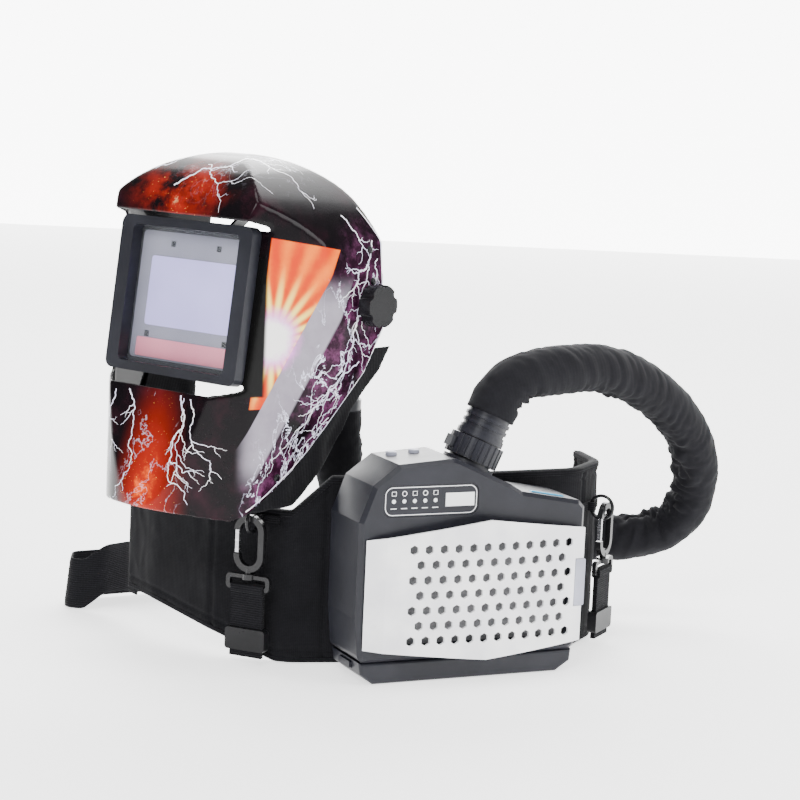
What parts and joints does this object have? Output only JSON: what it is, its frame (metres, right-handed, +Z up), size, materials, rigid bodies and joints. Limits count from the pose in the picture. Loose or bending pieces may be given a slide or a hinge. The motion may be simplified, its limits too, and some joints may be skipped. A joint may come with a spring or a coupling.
{
  "type": "powered air respirator",
  "caption": "Powered air-purifying respirator: belt-worn filter blower with a grille cover, padded waist belt, sleeved breathing hose and a flip-up welding helmet.",
  "frame": {"origin": "underside of the battery at the middle of the blower, on the surface the unit stands on", "axes": "+Z up, -Y towards the front of the filter cover, X across the blower"},
  "size_m": [0.6294, 0.403, 0.4552],
  "materials": {
    "casing_black": "fine moulded grain",
    "cover_white": "satin",
    "latch_grey": "satin",
    "lamp_clear": "clear gloss",
    "screen_steel": "woven mesh",
    "filter_paper": "pleated paper",
    "motor_steel": "machined",
    "circuit_board": "solder mask",
    "sleeve_fabric": "flame-resistant woven",
    "pad_fabric": "quilted nylon",
    "webbing_black": "woven webbing",
    "buckle_plastic": "moulded",
    "hook_metal": "black gloss plated",
    "helmet_paint": "printed gloss film",
    "knob_plastic": "moulded",
    "lens_clear": "polished",
    "filter_body": "satin",
    "filter_glass": "coated",
    "solar_glass": "coated"
  },
  "bodies": {
    "blower_and_belt": {"front_housing": "casing_black", "rear_housing": "casing_black", "control_panel": "casing_black", "display_window": "lamp_clear", "indicator_lights": "lamp_clear", "spark_screen": "screen_steel", "particle_filter": "filter_paper", "filter_frame": "casing_black", "fan_volute": "casing_black", "motor": "motor_steel", "control_board": "circuit_board", "outlet_collar": "casing_black", "blower_hose_cuff": "casing_black", "helmet_hose_cuff": "casing_black", "duct_clamp": "casing_black", "air_duct": "casing_black", "breathing_hose": "sleeve_fabric", "belt_plate": "casing_black", "belt_pad": "pad_fabric", "belt_webbing": "webbing_black", "buckle_socket": "buckle_plastic", "buckle_plug": "buckle_plastic", "belt_rings": "hook_metal", "ring_tabs": "webbing_black", "pivot_arms": "knob_plastic", "headband": "knob_plastic", "crown_strap": "knob_plastic", "brow_pad": "pad_fabric", "casing_screws": "motor_steel"},
    "cover": {"filter_cover": "cover_white"},
    "cover_catch": {"cover_latch": "latch_grey"},
    "fan_rotor": {"impeller": "casing_black"},
    "battery": {"battery_pack": "casing_black"},
    "battery_catch": {"battery_latch": "casing_black"},
    "power_key": {"power_button": "latch_grey"},
    "flow_key": {"flow_button": "latch_grey"},
    "lock_ring": {"hose_lock_ring": "casing_black"},
    "helmet": {"helmet_shell": "helmet_paint", "lens_frame": "casing_black", "cover_lens": "lens_clear", "filter_housing": "filter_body", "filter_window": "filter_glass", "solar_panel": "solar_glass", "filter_holder": "casing_black", "face_seal": "pad_fabric"},
    "shade_dial": {"shade_knob": "knob_plastic"},
    "sensitivity_dial": {"sensitivity_knob": "knob_plastic"},
    "left_pivot": {"left_pivot_knob": "knob_plastic"},
    "right_pivot": {"right_pivot_knob": "knob_plastic"},
    "ratchet": {"ratchet_knob": "knob_plastic"},
    "left_snap_hook": {"left_hook": "hook_metal"},
    "left_gate": {"left_hook_gate": "hook_metal"},
    "left_strap_end": {"left_swivel_eye": "hook_metal", "left_strap": "webbing_black", "left_strap_slider": "buckle_plastic"},
    "right_snap_hook": {"right_hook": "hook_metal"},
    "right_gate": {"right_hook_gate": "hook_metal"},
    "right_strap_end": {"right_swivel_eye": "hook_metal", "right_strap": "webbing_black", "right_strap_slider": "buckle_plastic"}
  },
  "joints": [
    {"name": "cover_hinge", "type": "hinge", "parent": "blower_and_belt", "child": "cover", "pos_m": [-0.1185, -0.0365, 0.083], "axis": [0, 0, -1], "range_deg": [0, 55]},
    {"name": "cover_latch_slide", "type": "slide", "parent": "cover", "child": "cover_catch", "axis": [1, 0, 0], "range_m": [0, 0.002], "stiffness_N_per_m": 250},
    {"name": "fan_spin", "type": "hinge", "parent": "blower_and_belt", "child": "fan_rotor", "pos_m": [-0.03, 0.01, 0.084], "axis": [0, -1, 0], "continuous": true},
    {"name": "battery_slide", "type": "slide", "parent": "blower_and_belt", "child": "battery", "axis": [-1, 0, 0], "range_m": [0, 0.06]},
    {"name": "battery_latch_press", "type": "slide", "parent": "battery", "child": "battery_catch", "axis": [1, 0, 0], "range_m": [0, 0.002], "stiffness_N_per_m": 300},
    {"name": "power_button_press", "type": "slide", "parent": "blower_and_belt", "child": "power_key", "axis": [0, 0, -1], "range_m": [0, 0.001], "stiffness_N_per_m": 500},
    {"name": "flow_button_press", "type": "slide", "parent": "blower_and_belt", "child": "flow_key", "axis": [0, 0, -1], "range_m": [0, 0.001], "stiffness_N_per_m": 500},
    {"name": "lock_ring_turn", "type": "hinge", "parent": "blower_and_belt", "child": "lock_ring", "pos_m": [-0.00029, 0.002, 0.20038], "axis": [0.408, 0, 0.913], "range_deg": [0, 40]},
    {"name": "helmet_flip", "type": "hinge", "parent": "blower_and_belt", "child": "helmet", "pos_m": [-0.144, 0.141, 0.328], "axis": [-0.4384, 0.8988, 0], "range_deg": [0, 65]},
    {"name": "shade_knob_turn", "type": "hinge", "parent": "helmet", "child": "shade_dial", "pos_m": [-0.25183, 0.12178, 0.28069], "axis": [0.8907, 0.4344, -0.134], "range_deg": [0, 270]},
    {"name": "sensitivity_knob_turn", "type": "hinge", "parent": "helmet", "child": "sensitivity_dial", "pos_m": [-0.22553, 0.06786, 0.28069], "axis": [0.8907, 0.4344, -0.134], "range_deg": [0, 270]},
    {"name": "left_pivot_turn", "type": "hinge", "parent": "blower_and_belt", "child": "left_pivot", "pos_m": [-0.09359, 0.03764, 0.328], "axis": [0.4384, -0.8988, 0], "range_deg": [0, 270]},
    {"name": "right_pivot_turn", "type": "hinge", "parent": "blower_and_belt", "child": "right_pivot", "pos_m": [-0.19441, 0.24436, 0.328], "axis": [-0.4384, 0.8988, 0], "range_deg": [0, 270]},
    {"name": "ratchet_turn", "type": "hinge", "parent": "blower_and_belt", "child": "ratchet", "pos_m": [-0.06491, 0.17958, 0.328], "axis": [0.8988, 0.4384, 0], "continuous": true},
    {"name": "left_hook_swing", "type": "hinge", "parent": "blower_and_belt", "child": "left_snap_hook", "pos_m": [-0.18421, 0.06775, 0.131], "axis": [-0.651, 0.759, 0], "range_deg": [0, 30]},
    {"name": "left_gate_open", "type": "hinge", "parent": "left_snap_hook", "child": "left_gate", "pos_m": [-0.19519, 0.07441, 0.102], "axis": [0.759, 0.651, 0], "range_deg": [0, 12], "stiffness_Nm_per_rad": 0.02, "springref_deg": -5.73},
    {"name": "left_strap_swivel", "type": "hinge", "parent": "left_snap_hook", "child": "left_strap_end", "pos_m": [-0.18725, 0.06515, 0.079], "axis": [0, 0, 1], "range_deg": [-40, 40]},
    {"name": "right_hook_swing", "type": "hinge", "parent": "blower_and_belt", "child": "right_snap_hook", "pos_m": [0.16217, 0.0491, 0.133], "axis": [-0.7741, -0.6331, 0], "range_deg": [0, 30]},
    {"name": "right_gate_open", "type": "hinge", "parent": "right_snap_hook", "child": "right_gate", "pos_m": [0.15526, 0.03828, 0.104], "axis": [-0.6331, 0.7741, 0], "range_deg": [0, 12], "stiffness_Nm_per_rad": 0.02, "springref_deg": -5.73},
    {"name": "right_strap_swivel", "type": "hinge", "parent": "right_snap_hook", "child": "right_strap_end", "pos_m": [0.1647, 0.046, 0.081], "axis": [0, 0, 1], "range_deg": [-40, 40]}
  ]
}
